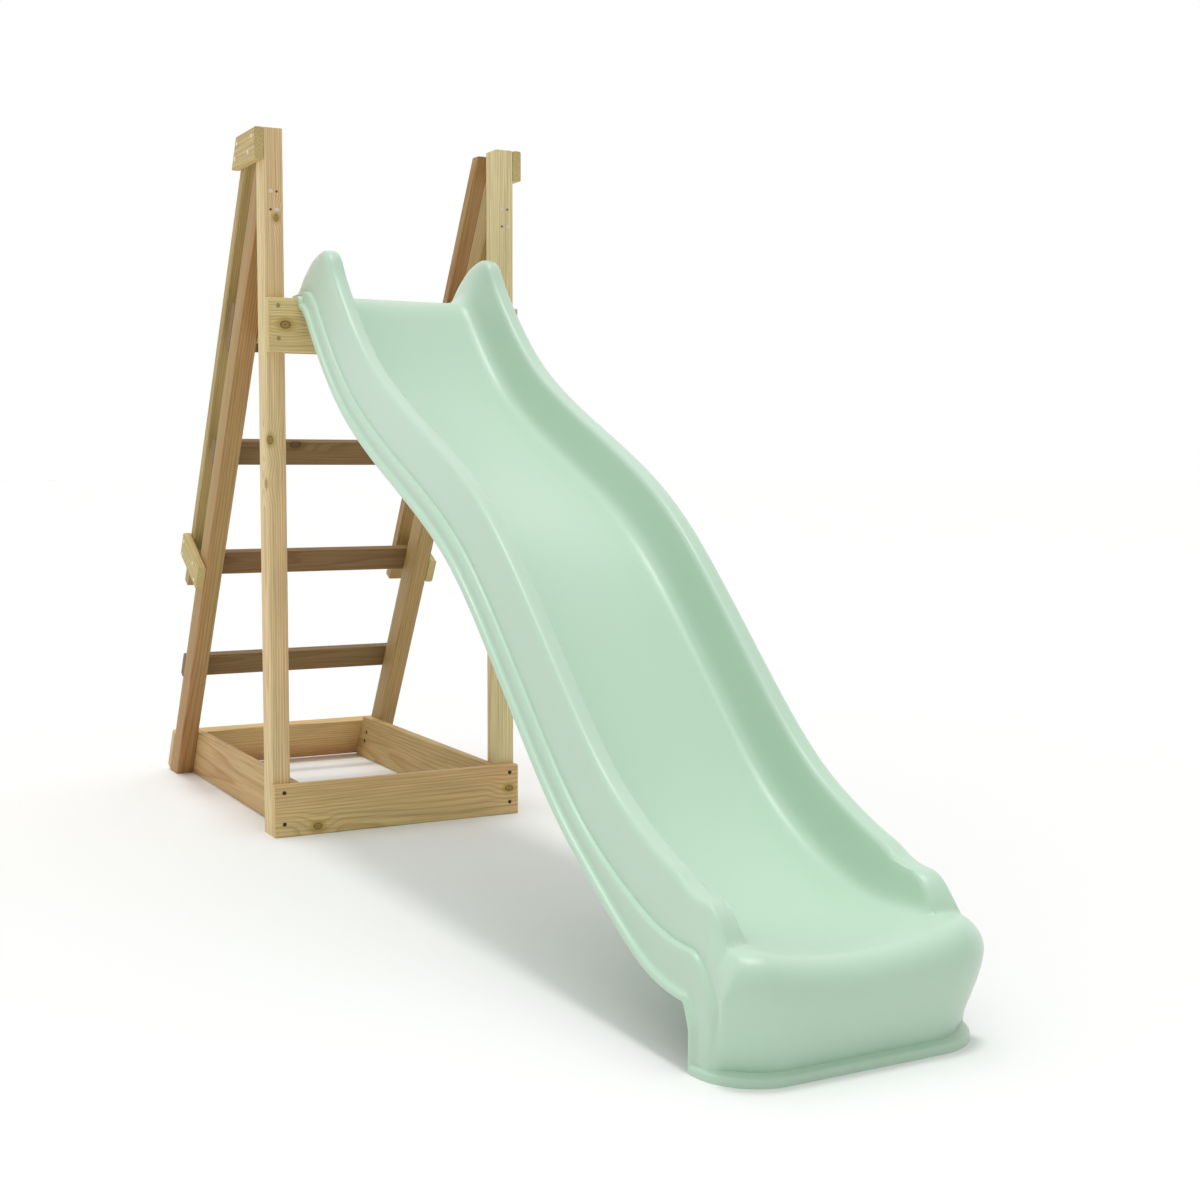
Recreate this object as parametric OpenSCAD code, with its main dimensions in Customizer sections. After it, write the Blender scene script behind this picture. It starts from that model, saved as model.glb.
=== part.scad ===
// Garden wave slide: a moulded plastic chute on a leaning timber ladder stand.
// Millimetres, Z up. The chute runs down towards -Y, the ladder leans back towards +Y.
// Origin: on the floor, in the middle of the whole outline.

/* [Stand] */
// Overall width over the two posts
stand_w = 605; // [520:5:700]
// Height of the posts above the floor
post_h = 1580; // [1500:10:1700]
// Width of posts and legs, across the slide
post_w = 44; // [38:1:50]
// Depth of a post, front to back
post_d = 60; // [50:1:70]
// Depth of a leaning leg, square to its length
leg_d = 64; // [50:1:70]
// Angle between the legs and the vertical
lean = 30; // [27:0.5:31]
// Distance from the top of a post down to where its leg's front face meets it
leg_drop = 189.2; // [150:0.2:240]
// Depth of a handrail, square to its length
rail_d = 30; // [24:1:36]
// Gap between a leg and the handrail behind it
rail_gap = 69; // [50:1:80]
// Distance of the handrail's lower end from the floor, along the leg
rail_start = 528; // [450:1:560]
// Rounding of the long timber edges
arris_r = 4; // [2:0.5:6]

/* [Boards] */
// Thickness of the base, platform and deck boards
board_t = 23; // [18:1:28]
// Height of the base and platform boards
board_w = 120; // [100:1:130]
// Thickness of a rung
rung_t = 20; // [18:1:26]
// Height of a rung
rung_w = 66; // [56:1:74]
// Vertical distance from one rung to the next
rung_rise = 281.4; // [270:0.2:290]
// Height of the lowest rung's upper edge
rung_first = 332; // [300:1:350]
// Thickness of the joining plates
plate_t = 20; // [16:1:24]
// Height of the top plates
top_plate_w = 70; // [60:1:80]
// Lift of the back board's lower edge off the floor
back_board_lift = 2.8; // [1:0.1:8]

/* [Platform] */
// Height of the platform above the floor
deck_h = 1210; // [1180:1:1230]
// Height of the rails under the deck boards
deck_rail_w = 60; // [40:1:80]
// Gap between the two deck boards
deck_gap = 5; // [3:0.5:10]
// Clearance at each end of a deck board
deck_clear = 1; // [0.5:0.5:3]

/* [Chute] */
// Overall width over the chute's lower flanges
chute_w = 471; // [420:1:480]
// Distance from the front of the posts to the tip of the nose
chute_run = 1830; // [1700:5:1950]
// Thickness of the moulded wall
chute_t = 5; // [4:0.5:6]
// Height of the side walls above the sliding bed
wall_h = 100; // [80:1:110]
// Depth of the outer skirt below the sliding bed
skirt_h = 27; // [20:1:32]
// Width of the flat rim on each side wall
rim_w = 36; // [28:1:40]
// Dish of the sliding bed between its middle and its edges
bed_dish = 6; // [3:0.5:10]
// Height of the bed at the nose, in the middle
nose_h = 165; // [150:1:185]
// Height of the lip round the foot of the nose
lip_h = 10; // [6:1:14]
// Depth of the fixing tab on the platform, behind the posts' front
tab_d = 48; // [40:1:60]

/* [Fixings] */
// Diameter of a screw's shank
screw_d = 5; // [4:0.5:6]
// Diameter of a screw's head
screw_head_d = 9; // [7:0.5:11]
// Height of a screw's head
screw_head_h = 1.2; // [0.8:0.1:2]
// Clearance round a screw's shank, on the radius
screw_clear = 0.3; // [0.2:0.05:0.6]
// Outer diameter of a washer under a chute screw
washer_d = 20; // [16:1:24]
// Thickness of that washer
washer_t = 1.5; // [1:0.1:2.5]

/* [Hidden] */
$fn = 32;

timber = "#bfa877";
shaded_timber = "#a98f5e";
mint = "#c4dcc6";
zinc = "#c9c6bb";

half_w = stand_w / 2;
inner_x = half_w - post_w;
left = -1;
right = 1;

// The lean frame: its Z runs up a leg, its Y squarely through the leg, its origin is
// where the leg's front face meets the floor.
lean_y = sin(lean);
lean_z = cos(lean);
// From the front of the posts to the front of a leg at the floor.
leg_meets_post = post_h - leg_drop;
leg_reach = post_d + leg_meets_post * lean_y / lean_z;
leg_l = post_h / lean_z + leg_d;
rail_in = leg_d + rail_gap;
function along(z, depth) = (z - depth * lean_y) / lean_z;
back_board_top = along(back_board_lift, leg_d) + board_w;
first_rung_top = along(rung_first, leg_d);
rung_step = rung_rise / lean_z;
middle_rung_top = first_rung_top + rung_step;
rear_beam_top = along(deck_h, leg_d);
leg_back_at_deck = leg_reach + leg_d / lean_z - deck_h * lean_y / lean_z;

// The outline's middle, measured from the front of the posts.
stand_back = leg_reach + (leg_d + board_t) * lean_z - (back_board_top - board_w) * lean_y;
front_y = (chute_run - stand_back) / 2;

// Screws: depth of the shank behind the face that the head sits on.
post_screw_l = post_d + 30;
plate_screw_l = plate_t + 30;
rung_screw_l = rung_t + 34;
board_screw_l = board_t + 34;
rail_screw_l = board_t + 16;
deck_screw_l = board_t + 22;
chute_screw_l = washer_t + chute_t + 18;
hole_d = screw_d + 2 * screw_clear;
screw_inset = 16;

// ---- shared shapes ----

// A timber section of w by d with rounded corners, its corner at the origin.
module section(w, d) {
    r = arris_r;
    translate([r, 0]) square([w - 2 * r, d]);
    translate([0, r]) square([w, d - 2 * r]);
    for (x = [r, w - r], y = [r, d - r]) translate([x, y]) circle(r);
}

// A board that runs along X, d deep and h high, centred on X.
module cross_board(length, d, h) {
    translate([-length / 2, 0, 0]) rotate([90, 0, 90]) linear_extrude(length) section(d, h);
}

// Moves its children into the lean frame.
module lean_frame() {
    translate([0, leg_reach, 0]) rotate([lean, 0, 0]) children();
}

// The room in front of the legs' back faces, used to trim what meets them.
module in_front_of_leg_backs() {
    lean_frame() translate([-half_w, -2 * leg_reach, -leg_reach])
        cube([stand_w, 2 * leg_reach + leg_d, 2 * leg_l]);
}

// A board along Y against the inner faces of a post and a leg on one side.
module side_board(side, bottom, height) {
    intersection() {
        translate([side * inner_x - (side == right ? board_t : 0), 0, bottom])
            translate([0, leg_reach + leg_d, 0]) rotate([90, 0, 0])
                linear_extrude(leg_reach + leg_d) section(board_t, height);
        in_front_of_leg_backs();
    }
}

// A screw whose head sits on the plane z = 0 and whose shank runs down from it.
module screw(length) {
    cylinder(d = screw_head_d, h = screw_head_h);
    translate([0, 0, -length]) cylinder(d = screw_d, h = length);
}

// The clear hole for that screw.
module screw_hole(length) {
    translate([0, 0, -length - screw_clear]) cylinder(d = hole_d, h = length + 2);
}

// ---- where the screws go ----

// Through each post into the head of its leg: the screws and the spare pilot holes.
post_screw_low = leg_meets_post + 12;
post_screw_high = post_screw_low + 40;
post_screw_side = 7;
module post_screws_at(side, spare = false) {
    sign = spare ? -1 : 1;
    for (p = [[-post_screw_side, post_screw_high], [post_screw_side, post_screw_low]])
        translate([side * (half_w - post_w / 2) + sign * p[0], 0, p[1]])
            rotate([90, 0, 0]) children();
}

// Through a top plate: two into the post, two into the handrail.
rail_mid = rail_in + rail_d / 2;
top_plate_rows = [post_h - 18, post_h - 49];
top_plate_columns = [20, post_d - 12];
module top_plate_screws_at(side) {
    for (i = [0, 1]) {
        z = top_plate_rows[i];
        rail_y = leg_reach + (rail_mid - z * lean_y) / lean_z;
        for (y = [top_plate_columns[i], rail_y])
            translate([side * (half_w + plate_t), y, z]) rotate([0, side * 90, 0]) children();
    }
}

// Through a lower plate: two into the leg, two into the handrail.
module lower_plate_screws_at(side) {
    for (p = [[leg_d - 14, -20], [22, -50], [rail_mid, -16], [rail_mid, -54]])
        lean_frame() translate([side * (half_w + plate_t), p[0], middle_rung_top + p[1]])
            rotate([0, side * 90, 0]) children();
}

// Through the ends of a board on the back of the legs, near the legs' inner faces.
back_screw_in = 8;
module back_of_leg_screws_at(depth, top, height) {
    for (side = [left, right], h = [screw_inset, height * 0.72])
        lean_frame() translate([side * (inner_x + back_screw_in), leg_d + depth, top - h])
            rotate([-90, 0, 0]) children();
}

// Through the ends of a board on the front of the posts.
module front_of_post_screws_at(bottom) {
    for (side = [left, right], h = [0.25, 0.85])
        translate([side * (half_w - post_w / 2), -board_t, bottom + board_w * h])
            rotate([90, 0, 0]) children();
}

// Sideways through a side board: two into the post, two into the leg, in front of the
// screws that come in from the leg's back.
post_screw_in = 22;
leg_screw_in = 20;
module side_board_screws_at(side, bottom, height) {
    for (h = [0.42, 0.65]) {
        z = bottom + height * h;
        leg_y = leg_reach + (leg_screw_in - z * lean_y) / lean_z;
        for (y = [post_screw_in, leg_y])
            translate([side * (inner_x - board_t), y, z]) rotate([0, -side * 90, 0]) children();
    }
}

// Down through the deck boards into the rails beneath.
deck_depth = leg_back_at_deck - 2 * deck_clear;
deck_board_w = (deck_depth - deck_gap) / 2;
function deck_board_y(i) = deck_clear + i * (deck_board_w + deck_gap);
module deck_screws_at(i) {
    for (side = [left, right], y = [0.3, 0.7])
        translate([side * (inner_x - board_t / 2), deck_board_y(i) + deck_board_w * y, deck_h])
            children();
}

// Down through the chute's tab into the front deck board.
chute_screw_y = tab_d * 0.55;
chute_screw_x = chute_w * 0.22;
module chute_screws_at(lift_off = 0) {
    for (side = [left, right])
        translate([side * chute_screw_x, chute_screw_y, deck_h + chute_t + lift_off]) children();
}

// ---- the timber stand ----

module post(side) {
    color(timber) difference() {
        translate([side * (half_w - post_w / 2) - post_w / 2, 0, 0])
            linear_extrude(post_h) section(post_w, post_d);
        post_screws_at(side) screw_hole(post_screw_l);
        post_screws_at(side, spare = true) screw_hole(post_d / 2);
        top_plate_screws_at(side) screw_hole(plate_screw_l);
        side_board_screws_at(side, 0, board_w) screw_hole(board_screw_l);
        side_board_screws_at(side, deck_rail_z, deck_rail_w) screw_hole(board_screw_l);
        front_of_post_screws_at(0) screw_hole(board_screw_l);
        front_of_post_screws_at(deck_h - board_w) screw_hole(board_screw_l);
    }
}

deck_rail_z = deck_h - board_t - deck_rail_w;

module leg(side) {
    color(timber) difference() {
        intersection() {
            lean_frame() translate([side * (half_w - post_w / 2) - post_w / 2, 0, -leg_d])
                linear_extrude(leg_l + leg_d) section(post_w, leg_d);
            translate([-half_w, post_d, 0]) cube([stand_w, leg_reach + leg_d, post_h]);
        }
        post_screws_at(side) screw_hole(post_screw_l);
        lower_plate_screws_at(side) screw_hole(plate_screw_l);
        for (i = [0:2])
            back_of_leg_screws_at(rung_t, rung_top(i), rung_w) screw_hole(rung_screw_l);
        back_of_leg_screws_at(board_t, back_board_top, board_w) screw_hole(board_screw_l);
        back_of_leg_screws_at(board_t, rear_beam_top, board_w) screw_hole(board_screw_l);
        side_board_screws_at(side, 0, board_w) screw_hole(board_screw_l);
        side_board_screws_at(side, deck_rail_z, deck_rail_w) screw_hole(board_screw_l);
    }
}

module handrail(side) {
    color(timber) difference() {
        intersection() {
            lean_frame() translate([side * (half_w - post_w / 2) - post_w / 2, rail_in, rail_start])
                linear_extrude(leg_l) section(post_w, rail_d);
            translate([-half_w, 0, 0]) cube([stand_w, leg_reach + rail_in, post_h]);
        }
        top_plate_screws_at(side) screw_hole(plate_screw_l);
        lower_plate_screws_at(side) screw_hole(plate_screw_l);
    }
}

// A plate on the outer faces of post and handrail, its back end cut along the handrail.
module top_plate(side) {
    color(timber) difference() {
        intersection() {
            translate([side * (half_w + plate_t / 2) - plate_t / 2, leg_reach, post_h - top_plate_w])
                rotate([90, 0, 0]) linear_extrude(leg_reach) section(plate_t, top_plate_w);
            lean_frame() translate([-stand_w, -2 * leg_l, 0])
                cube([2 * stand_w, 2 * leg_l + rail_in + rail_d, 2 * leg_l]);
        }
        top_plate_screws_at(side) screw_hole(plate_screw_l);
    }
}

// A short plate across leg and handrail, level with the middle rung.
module lower_plate(side) {
    color(timber) difference() {
        lean_frame() translate([side * (half_w + plate_t / 2) - plate_t / 2, rail_in + rail_d,
                                middle_rung_top - rung_w])
            rotate([90, 0, 0]) linear_extrude(rail_in + rail_d) section(plate_t, rung_w);
        lower_plate_screws_at(side) screw_hole(plate_screw_l);
    }
}

function rung_top(i) = first_rung_top + i * rung_step;

module rung(i) {
    color(timber) difference() {
        lean_frame() translate([0, leg_d, rung_top(i) - rung_w])
            cross_board(stand_w, rung_t, rung_w);
        back_of_leg_screws_at(rung_t, rung_top(i), rung_w) screw_hole(rung_screw_l);
    }
}

// ---- the sandpit base ----

module base_front_board() {
    color(timber) difference() {
        translate([0, -board_t, 0]) cross_board(stand_w, board_t, board_w);
        front_of_post_screws_at(0) screw_hole(board_screw_l);
    }
}

module base_back_board() {
    color(timber) difference() {
        lean_frame() translate([0, leg_d, back_board_top - board_w])
            cross_board(stand_w, board_t, board_w);
        back_of_leg_screws_at(board_t, back_board_top, board_w) screw_hole(board_screw_l);
    }
}

module base_side_board(side) {
    color(timber) difference() {
        side_board(side, 0, board_w);
        side_board_screws_at(side, 0, board_w) screw_hole(board_screw_l);
    }
}

// ---- the platform ----

module platform_front_beam() {
    color(timber) difference() {
        translate([0, -board_t, deck_h - board_w]) cross_board(stand_w, board_t, board_w);
        front_of_post_screws_at(deck_h - board_w) screw_hole(board_screw_l);
    }
}

module platform_rear_beam() {
    color(shaded_timber) difference() {
        lean_frame() translate([0, leg_d, rear_beam_top - board_w])
            cross_board(stand_w, board_t, board_w);
        back_of_leg_screws_at(board_t, rear_beam_top, board_w) screw_hole(board_screw_l);
    }
}

module platform_rail(side) {
    color(shaded_timber) difference() {
        side_board(side, deck_rail_z, deck_rail_w);
        side_board_screws_at(side, deck_rail_z, deck_rail_w) screw_hole(board_screw_l);
        for (i = [0, 1]) deck_screws_at(i) screw_hole(deck_screw_l);
    }
}

module deck_board(i) {
    color(timber) difference() {
        translate([0, deck_board_y(i), deck_h - board_t])
            cross_board(2 * (inner_x - deck_clear), deck_board_w, board_t);
        deck_screws_at(i) screw_hole(deck_screw_l);
        if (i == 0) chute_screws_at() screw_hole(chute_screw_l);
    }
}

// ---- the chute ----

// The bed's course in the YZ plane, from the platform's edge to the nose. Each entry is
// a share of the run in front of the posts and a share of the drop to the nose.
course = [
    [0.000, 0.000], [0.018, 0.001], [0.034, 0.011], [0.060, 0.052], [0.098, 0.122],
    [0.164, 0.220], [0.262, 0.316], [0.377, 0.405], [0.481, 0.501], [0.568, 0.626],
    [0.656, 0.771], [0.743, 0.896], [0.831, 0.973], [0.890, 1.002], [0.926, 1.004]
];
bed_top = deck_h + chute_t;
bed_drop = bed_top - nose_h;
steps = 2;

function spline(p0, p1, p2, p3, t) = 0.5 * (2 * p1 + (p2 - p0) * t
    + (2 * p0 - 5 * p1 + 4 * p2 - p3) * t * t + (3 * p1 - 3 * p2 + p3 - p0) * t * t * t);
function course_point(i) =
    let (k = max(0, min(len(course) - 1, i)))
    [-course[k][0] * chute_run, bed_top - course[k][1] * bed_drop];

// Where the skirt steps down from the platform to hang in front of the beam.
skirt_step = -board_t - 1;
tab_stations = [tab_d, tab_d * 0.66, tab_d * 0.33, 0, skirt_step / 2, skirt_step + 0.7, skirt_step];
bed = concat(
    [for (y = tab_stations) [y, bed_top]],
    [for (i = [1 : len(course) - 2], s = [0 : steps - 1])
        spline(course_point(i - 1), course_point(i), course_point(i + 1), course_point(i + 2),
               s / steps)],
    [course_point(len(course) - 1)]
);
last = len(bed) - 1;
first_sloped = len(tab_stations);
function unit(v) = v / norm(v);
function heading(i) =
    i < first_sloped ? [-1, 0] : unit(bed[min(last, i + 1)] - bed[max(0, i - 1)]);
// Square to the bed, pointing up.
function upright(i) = let (h = heading(i)) [h[1], -h[0]];
function ease(a) = let (t = max(0, min(1, a))) t * t * (3 - 2 * t);

// Half of the cross-section, from the flange's lower edge to the middle of the bed:
// [out from the middle, up from the bed, inward direction of the wall's thickness].
half_c = chute_w / 2;
rim_out = half_c - 29;
rim_in = rim_out - rim_w;
rim_r = 5;
half_section = [
    [half_c, -skirt_h, -1, 0],
    [half_c, -skirt_h + 8, -1, -1],
    [half_c - 9, -skirt_h + 10, -1, -1],
    [half_c - 18, -skirt_h + 40, -1, 0],
    [rim_out, wall_h - rim_r, -1, 0],
    [rim_out - rim_r, wall_h, -0.4, -1],
    [rim_in + rim_r, wall_h, 0.4, -1],
    [rim_in, wall_h - rim_r, 1, 0],
    [rim_in - 10, 32, 1, -0.2],
    [rim_in - 17, 14, 0.7, -0.7],
    [rim_in - 34, bed_dish, 0.2, -1],
    [(rim_in - 34) * 0.6, bed_dish * 0.4, 0, -1],
    [0, 0, 0, -1]
];
count = len(half_section);
skirt_last = 2;
wall_last = 7;

// Share of the full wall height: the ears rise over the platform's edge, and the rims
// come down towards the nose.
ear_l = tab_d + 90;
rim_fall = 0.2;
function rise(a) = 0.1 + 0.9 * pow(max(0, min(1, a)), 0.8);
function wall_share(i) =
    rise((tab_d - bed[i][0] - wall_h * upright(i)[0]) / ear_l)
    * (1 - rim_fall * ease((-bed[i][0] - 0.86 * chute_run) / (0.07 * chute_run)));
// The skirt deepens towards the nose, and the bed is dished more.
nose_skirt = 35;
nose_dish = 22;
function towards_nose(y, start) = ease((-y - start * chute_run) / (0.19 * chute_run));
function skirt_rise(v) = (v + skirt_h) * 0.5 - chute_t;
function dish_share(y) = ease((skirt_step - y) / 60);
function height_at(i, k, v, y) =
    k <= skirt_last
        ? (y > skirt_step + 0.1 ? skirt_rise(v) : v - nose_skirt * towards_nose(y, 0.745))
    : k <= wall_last + 2 ? max(v * wall_share(i), v < 0 ? v : dish_floor(k, y))
    : v * dish_share(y) + nose_dish * towards_nose(y, 0.8) * pow(half_section[k][0] / rim_in, 2);
// The fillet's lines stay just above the bed where the wall is low.
function dish_floor(k, y) = k > wall_last ? (wall_last + 3 - k) * 0.5 : 0;

// A point of the moulding's skin at depth t inside the wall: i along the bed, k across.
function skin(i, k, t) =
    let (s = half_section[k], y = bed[i][0],
         lowered = k <= skirt_last && y > skirt_step + 0.1,
         v = lowered ? height_at(i, k, s[1] + t * s[3], y) : height_at(i, k, s[1], y) + t * s[3],
         p = bed[i] + v * upright(i))
    [s[0] + t * s[2], p[0], p[1]];

// A point on half of a plan outline: straight side, round corner, straight front.
foot_y = -0.936 * chute_run;
function outline(half, front, r, q) =
    let (side_l = front - r + foot_y, corner_l = r * PI / 2, front_l = half - r,
         d = q * (side_l + corner_l + front_l), a = (d - side_l) / corner_l * 90)
    d < side_l ? [half, foot_y - d]
    : d < side_l + corner_l ? [half - r + r * cos(a), -(front - r) - r * sin(a)]
    : [half - r - (d - side_l - corner_l), -front];

// Where each line of the section meets the outline, as a share of its length.
nose_share = [0, 0.02, 0.05, 0.16, 0.30, 0.34, 0.42, 0.46, 0.52, 0.57, 0.66, 0.80, 1];
roll_r = 70;
face_r = 85;
lip_r = 100;
lip_back = 12;
face_back = 32;
roll_h = 40;
function roll_z(k, half) =
    let (u = outline(half_c, chute_run, roll_r, nose_share[k])[0])
    k <= skirt_last ? 60 + 14 * k : nose_h - roll_h + 20 * pow(u / half_c, 2) - (k == 3 ? 20 : 0);
function roll_point(k, t) =
    let (p = outline(half_c - t, chute_run - t, roll_r - t, nose_share[k])) [p[0], p[1], roll_z(k)];
function face_point(k, t, z) =
    let (p = outline(half_c - face_back / 2 - t, chute_run - face_back - t, face_r - t, nose_share[k]))
    [p[0], p[1], z];
function lip_point(k, back, z) =
    let (p = outline(half_c - back, chute_run - lip_back - back, lip_r - back, nose_share[k]))
    [p[0], p[1], z];
function bezier(a, b, c, d, w) =
    pow(1 - w, 3) * a + 3 * w * pow(1 - w, 2) * b + 3 * w * w * (1 - w) * c + pow(w, 3) * d;
// From the last section over the nose's roll, for w from 0 to 1.
function roll_over(k, t, w) =
    let (a = skin(last, k, t), d = roll_point(k, t),
         reach = norm([a[0] - d[0], a[1] - d[1]]),
         rise = k <= 3 ? 8 : roll_h - t)
    bezier(a, a + [0, -0.5 * reach, -2], d + [0, 0, rise], d, w);
// From the roll down the tapering face to the foot.
function face_down(k, t, w) =
    let (a = roll_point(k, t), d = face_point(k, t, lip_h + 3))
    bezier(a, a - [0, 0, 0.3 * (a[2] - d[2])], d + [0, 0, 0.4 * (a[2] - d[2])], d, w);

function ring_point(j, k, t) =
    j <= last ? skin(j, k, t)
    : j <= last + 4 ? roll_over(k, t, (j - last) / 4)
    : j <= last + 7 ? face_down(k, t, (j - last - 4) / 3)
    : let (z = [lip_h, lip_h - 3, 0][j - last - 8])
      t > 0 ? face_point(k, t, z) : lip_point(k, j == last + 8 ? 3 : 0, z);
ring_count = last + 11;
function half_ring(j, t) = [for (k = [0 : count - 1]) ring_point(j, k, t)];
function ring(j) =
    let (outer = half_ring(j, 0), inner = half_ring(j, chute_t))
    concat(
        [for (k = [0 : count - 1]) [-outer[k][0], outer[k][1], outer[k][2]]],
        [for (k = [count - 2 : -1 : 0]) outer[k]],
        [for (k = [0 : count - 1]) inner[k]],
        [for (k = [count - 2 : -1 : 0]) [-inner[k][0], inner[k][1], inner[k][2]]]
    );
ring_size = 4 * count - 2;

module chute_shell() {
    points = [for (j = [0 : ring_count - 1]) each ring(j)];
    function at(j, m) = j * ring_size + m % ring_size;
    sides = [
        for (j = [0 : ring_count - 2], m = [0 : ring_size - 1])
            each [[at(j, m), at(j, m + 1), at(j + 1, m + 1)],
                  [at(j, m), at(j + 1, m + 1), at(j + 1, m)]]
    ];
    // The closing strips at both ends, from the outer skin to the inner skin.
    half_n = ring_size / 2;
    function strip(j, flip) = [
        for (m = [0 : half_n - 2])
            let (a = at(j, m), b = at(j, m + 1),
                 c = at(j, ring_size - 2 - m), d = at(j, ring_size - 1 - m))
            each flip ? [[a, d, c], [a, c, b]] : [[a, b, c], [a, c, d]]
    ];
    polyhedron(points, concat(sides, strip(0, true), strip(ring_count - 1, false)));
}

module slide_chute() {
    color(mint) difference() {
        chute_shell();
        chute_screws_at() screw_hole(chute_screw_l);
    }
}

// ---- the screws, as groups ----

module post_screws() {
    color(zinc) for (side = [left, right]) post_screws_at(side) screw(post_screw_l);
}

module top_plate_screws() {
    color(zinc) for (side = [left, right]) top_plate_screws_at(side) screw(plate_screw_l);
}

module lower_plate_screws() {
    color(zinc) for (side = [left, right]) lower_plate_screws_at(side) screw(plate_screw_l);
}

module rung_screws() {
    color(zinc) for (i = [0 : 2])
        back_of_leg_screws_at(rung_t, rung_top(i), rung_w) screw(rung_screw_l);
}

module base_front_screws() {
    color("#4a4038") front_of_post_screws_at(0) screw(board_screw_l);
}

module base_back_screws() {
    color("#4a4038")
        back_of_leg_screws_at(board_t, back_board_top, board_w) screw(board_screw_l);
}

module base_side_screws() {
    color("#4a4038") for (side = [left, right])
        side_board_screws_at(side, 0, board_w) screw(rail_screw_l);
}

module platform_screws() {
    color(zinc) {
        front_of_post_screws_at(deck_h - board_w) screw(board_screw_l);
        back_of_leg_screws_at(board_t, rear_beam_top, board_w) screw(board_screw_l);
    }
}

module platform_rail_screws() {
    color(zinc) for (side = [left, right])
        side_board_screws_at(side, deck_rail_z, deck_rail_w) screw(rail_screw_l);
}

module deck_screws() {
    color(zinc) for (i = [0, 1]) deck_screws_at(i) screw(deck_screw_l);
}

module chute_screws() {
    color(zinc) chute_screws_at(washer_t) screw(chute_screw_l);
}

module chute_washers() {
    color(zinc) chute_screws_at() difference() {
        cylinder(d = washer_d, h = washer_t);
        translate([0, 0, -1]) cylinder(d = hole_d, h = washer_t + 2);
    }
}

// ---- the nodes ----

// Moves the whole slide so that the origin is in the middle of its outline.
module place() {
    translate([0, front_y, 0]) children();
}

place() post(left);  // left_post
place() post(right);  // right_post
place() leg(left);  // left_leg
place() leg(right);  // right_leg
place() handrail(left);  // left_handrail
place() handrail(right);  // right_handrail
place() top_plate(left);  // left_top_plate
place() top_plate(right);  // right_top_plate
place() lower_plate(left);  // left_lower_plate
place() lower_plate(right);  // right_lower_plate
place() rung(0);  // lower_rung
place() rung(1);  // middle_rung
place() rung(2);  // upper_rung
place() base_front_board();
place() base_back_board();
place() base_side_board(left);  // base_left_board
place() base_side_board(right);  // base_right_board
place() platform_front_beam();
place() platform_rear_beam();
place() platform_rail(left);  // platform_left_rail
place() platform_rail(right);  // platform_right_rail
place() deck_board(0);  // front_deck_board
place() deck_board(1);  // rear_deck_board
place() slide_chute();
place() post_screws();
place() top_plate_screws();
place() lower_plate_screws();
place() rung_screws();
place() base_front_screws();
place() base_back_screws();
place() base_side_screws();
place() platform_screws();
place() platform_rail_screws();
place() deck_screws();
place() chute_screws();
place() chute_washers();
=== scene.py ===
import bpy
import numpy as np
from math import radians, sin, cos, pi
from mathutils import Matrix, Vector


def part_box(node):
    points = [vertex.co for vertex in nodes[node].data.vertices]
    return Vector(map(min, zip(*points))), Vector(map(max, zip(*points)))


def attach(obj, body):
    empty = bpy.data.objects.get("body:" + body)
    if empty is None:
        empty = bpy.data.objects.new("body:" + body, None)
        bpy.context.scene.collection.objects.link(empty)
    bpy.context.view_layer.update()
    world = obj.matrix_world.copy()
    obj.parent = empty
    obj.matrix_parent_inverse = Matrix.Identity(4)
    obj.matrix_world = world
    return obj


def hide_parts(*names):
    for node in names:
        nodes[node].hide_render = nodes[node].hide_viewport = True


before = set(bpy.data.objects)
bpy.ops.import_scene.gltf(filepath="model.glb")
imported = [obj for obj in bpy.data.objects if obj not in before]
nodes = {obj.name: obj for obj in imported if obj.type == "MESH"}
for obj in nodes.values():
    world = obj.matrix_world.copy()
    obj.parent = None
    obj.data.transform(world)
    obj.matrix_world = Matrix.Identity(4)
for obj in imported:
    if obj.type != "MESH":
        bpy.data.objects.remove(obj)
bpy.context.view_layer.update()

mm = 0.001
scene = bpy.context.scene


# One sRGB hex value as linear red, green, blue, alpha.
def linearColour(hexColour):
    values = [int(hexColour[i:i + 2], 16) / 255 for i in (1, 3, 5)]
    return [v / 12.92 if v <= 0.04045 else ((v + 0.055) / 1.055) ** 2.4 for v in values] + [1]


# Adds a node, sets what settings names on the node or on its inputs, and links sockets to inputs.
def addNode(tree, kind, settings=(), links=()):
    node = tree.nodes.new(kind)
    for key, value in dict(settings).items():
        if isinstance(key, str) and hasattr(node, key):
            setattr(node, key, value)
        else:
            node.inputs[key].default_value = value
    for key, socket in dict(links).items():
        tree.links.new(socket, node.inputs[key])
    return node


# A new material with its tree and its shader.
def newMaterial(name):
    material = bpy.data.materials.new(name)
    material.use_nodes = True
    tree = material.node_tree
    shader = tree.nodes["Principled BSDF"]
    return material, tree, shader


# Where the slide stands, read from the frame.

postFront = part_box("left_post")[0].y
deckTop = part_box("front_deck_board")[1].z
chuteLow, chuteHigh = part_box("slide_chute")
print("frame loaded:", len(nodes), "nodes")


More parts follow.
